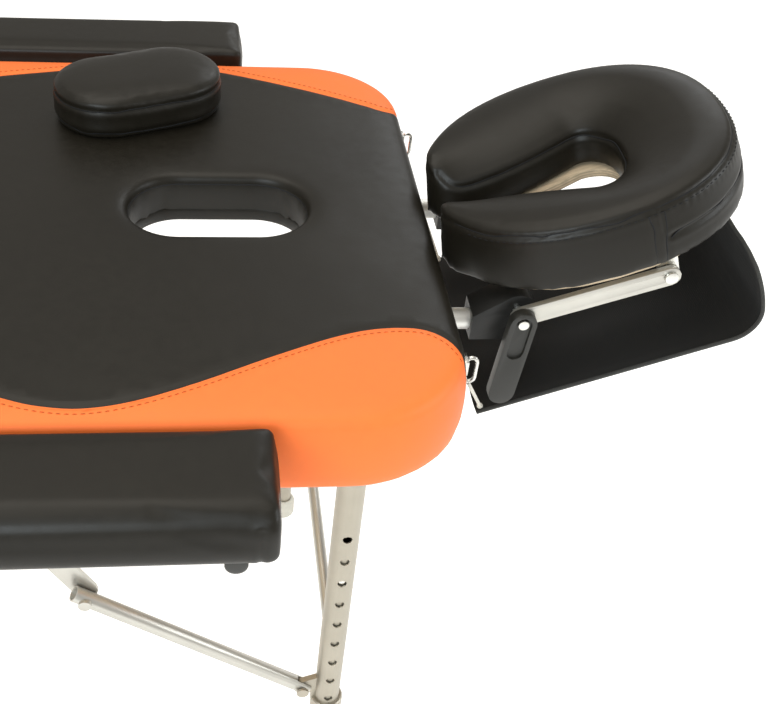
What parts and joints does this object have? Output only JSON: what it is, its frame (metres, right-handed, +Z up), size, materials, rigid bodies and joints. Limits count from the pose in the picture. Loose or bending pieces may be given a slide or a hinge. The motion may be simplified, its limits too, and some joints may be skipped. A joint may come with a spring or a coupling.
{
  "type": "folding massage table",
  "caption": "Portable two-section massage table with padded top, face hole and plug, sliding armrests, tilting headrest with arm sling, and folding telescopic aluminium legs",
  "frame": {"origin": "centre of the bounding box on the floor under the table's feet", "axes": "+Z up, +X towards the head end along the table's length, -Y the near side that the picture is taken from"},
  "size_m": [2.1456, 0.804, 0.8108],
  "materials": {
    "black_vinyl": "soft black vinyl over foam, fine grain, low sheen",
    "plywood": "pale plywood, sanded",
    "rail_wood": "plain sawn hardwood",
    "aluminium": "pale satin aluminium",
    "steel": "bright plated steel",
    "black_plastic": "moulded black plastic",
    "pale_rubber": "off-white rubber",
    "black_fabric": "black coated cloth with webbing"
  },
  "bodies": {
    "head_section": {"head_pad": "black_vinyl", "head_panel": "plywood", "head_side_rail_near": "rail_wood", "head_side_rail_far": "rail_wood", "head_end_rail": "rail_wood", "head_centre_rail": "aluminium", "head_leg_plate_near": "aluminium", "head_leg_plate_far": "aluminium", "sling_clip_near": "steel", "sling_clip_far": "steel"},
    "foot_section": {"foot_pad": "black_vinyl", "foot_panel": "plywood", "foot_side_rail_near": "rail_wood", "foot_side_rail_far": "rail_wood", "foot_centre_rail": "aluminium", "foot_leg_plate_near": "aluminium", "foot_leg_plate_far": "aluminium"},
    "head_legs": {"head_leg_near": "aluminium", "head_leg_far": "aluminium", "head_crossbar": "aluminium"},
    "head_struts": {"head_strut_near": "aluminium", "head_strut_far": "aluminium"},
    "head_hangers": {"head_hanger_near": "aluminium", "head_hanger_far": "aluminium"},
    "head_lower_leg_near": {"head_inner_leg_near": "aluminium", "head_foot_near": "pale_rubber"},
    "head_button_near": {"head_button_near": "steel"},
    "head_lower_leg_far": {"head_inner_leg_far": "aluminium", "head_foot_far": "pale_rubber"},
    "head_button_far": {"head_button_far": "steel"},
    "foot_legs": {"foot_leg_near": "aluminium", "foot_leg_far": "aluminium", "foot_crossbar": "aluminium"},
    "foot_struts": {"foot_strut_near": "aluminium", "foot_strut_far": "aluminium"},
    "foot_hangers": {"foot_hanger_near": "aluminium", "foot_hanger_far": "aluminium"},
    "foot_lower_leg_near": {"foot_inner_leg_near": "aluminium", "foot_foot_near": "pale_rubber"},
    "foot_button_near": {"foot_button_near": "steel"},
    "foot_lower_leg_far": {"foot_inner_leg_far": "aluminium", "foot_foot_far": "pale_rubber"},
    "foot_button_far": {"foot_button_far": "steel"},
    "armrest_near": {"armrest_cushion_near": "black_vinyl", "armrest_frame_near": "aluminium"},
    "armrest_far": {"armrest_cushion_far": "black_vinyl", "armrest_frame_far": "aluminium"},
    "plug": {"face_hole_plug": "black_vinyl"},
    "headrest_base": {"headrest_rod_near": "aluminium", "headrest_rod_far": "aluminium", "headrest_clamp_near": "black_plastic", "headrest_clamp_far": "black_plastic", "headrest_cross_pin": "steel", "arm_sling": "black_fabric"},
    "headrest_arms": {"headrest_arm_near": "aluminium", "headrest_arm_far": "aluminium"},
    "headrest_top": {"headrest_platform": "plywood", "headrest_cushion": "black_vinyl"},
    "cam_lever": {"headrest_lever": "black_plastic"}
  },
  "joints": [
    {"name": "centre_fold", "type": "hinge", "parent": "head_section", "child": "foot_section", "pos_m": [-0.14278, 0, 0.58], "axis": [0, -1, 0], "range_deg": [0, 180]},
    {"name": "head_leg_fold", "type": "hinge", "parent": "head_section", "child": "head_legs", "pos_m": [0.69422, 0, 0.6], "axis": [0, 1, 0], "range_deg": [0, 90]},
    {"name": "head_strut_turn", "type": "hinge", "parent": "head_legs", "child": "head_struts", "pos_m": [0.66822, 0, 0.285], "axis": [0, -1, 0], "range_deg": [0, 126]},
    {"name": "head_hanger_turn", "type": "hinge", "parent": "head_section", "child": "head_hangers", "pos_m": [0.34826, 0, 0.626], "axis": [0, 1, 0], "range_deg": [0, 121]},
    {"name": "head_leg_length_near", "type": "slide", "parent": "head_legs", "child": "head_lower_leg_near", "axis": [0, 0, 1], "range_m": [-0.18, 0.06]},
    {"name": "head_button_press_near", "type": "slide", "parent": "head_lower_leg_near", "child": "head_button_near", "axis": [0, 1, 0], "range_m": [0, 0.004], "stiffness_N_per_m": 900},
    {"name": "head_leg_length_far", "type": "slide", "parent": "head_legs", "child": "head_lower_leg_far", "axis": [0, 0, 1], "range_m": [-0.18, 0.06]},
    {"name": "head_button_press_far", "type": "slide", "parent": "head_lower_leg_far", "child": "head_button_far", "axis": [0, -1, 0], "range_m": [0, 0.004], "stiffness_N_per_m": 900},
    {"name": "foot_leg_fold", "type": "hinge", "parent": "foot_section", "child": "foot_legs", "pos_m": [-0.97978, 0, 0.6], "axis": [0, -1, 0], "range_deg": [0, 90]},
    {"name": "foot_strut_turn", "type": "hinge", "parent": "foot_legs", "child": "foot_struts", "pos_m": [-0.95378, 0, 0.285], "axis": [0, 1, 0], "range_deg": [0, 126]},
    {"name": "foot_hanger_turn", "type": "hinge", "parent": "foot_section", "child": "foot_hangers", "pos_m": [-0.63382, 0, 0.626], "axis": [0, -1, 0], "range_deg": [0, 121]},
    {"name": "foot_leg_length_near", "type": "slide", "parent": "foot_legs", "child": "foot_lower_leg_near", "axis": [0, 0, 1], "range_m": [-0.18, 0.06]},
    {"name": "foot_button_press_near", "type": "slide", "parent": "foot_lower_leg_near", "child": "foot_button_near", "axis": [0, 1, 0], "range_m": [0, 0.004], "stiffness_N_per_m": 900},
    {"name": "foot_leg_length_far", "type": "slide", "parent": "foot_legs", "child": "foot_lower_leg_far", "axis": [0, 0, 1], "range_m": [-0.18, 0.06]},
    {"name": "foot_button_press_far", "type": "slide", "parent": "foot_lower_leg_far", "child": "foot_button_far", "axis": [0, -1, 0], "range_m": [0, 0.004], "stiffness_N_per_m": 900},
    {"name": "armrest_slide_near", "type": "slide", "parent": "head_section", "child": "armrest_near", "axis": [0, -1, 0], "range_m": [0, 0.12]},
    {"name": "armrest_slide_far", "type": "slide", "parent": "head_section", "child": "armrest_far", "axis": [0, 1, 0], "range_m": [0, 0.12]},
    {"name": "plug_lift", "type": "slide", "parent": "head_section", "child": "plug", "axis": [0, 0, 1], "range_m": [0, 0.2]},
    {"name": "headrest_slide", "type": "slide", "parent": "head_section", "child": "headrest_base", "axis": [1, 0, 0], "range_m": [0, 0.13]},
    {"name": "headrest_tilt", "type": "hinge", "parent": "headrest_base", "child": "headrest_arms", "pos_m": [0.85722, 0, 0.6555], "axis": [0, 1, 0], "range_deg": [0, 25], "deforming": ["arm_sling"]},
    {"name": "headrest_platform_tilt", "type": "hinge", "parent": "headrest_arms", "child": "headrest_top", "pos_m": [0.98643, 0, 0.70253], "axis": [0, 1, 0], "range_deg": [0, 20]},
    {"name": "cam_lever_turn", "type": "hinge", "parent": "headrest_base", "child": "cam_lever", "pos_m": [0.85722, -0.1267, 0.6555], "axis": [0, -1, 0], "range_deg": [0, 90]}
  ],
  "couplings": [
    {"joint": "head_leg_fold", "follows": "centre_fold", "ratio": 0.5},
    {"joint": "head_strut_turn", "follows": "centre_fold", "ratio": 0.69932},
    {"joint": "head_hanger_turn", "follows": "centre_fold", "ratio": 0.67051},
    {"joint": "foot_leg_fold", "follows": "centre_fold", "ratio": 0.5},
    {"joint": "foot_strut_turn", "follows": "centre_fold", "ratio": 0.69932},
    {"joint": "foot_hanger_turn", "follows": "centre_fold", "ratio": 0.67051}
  ]
}
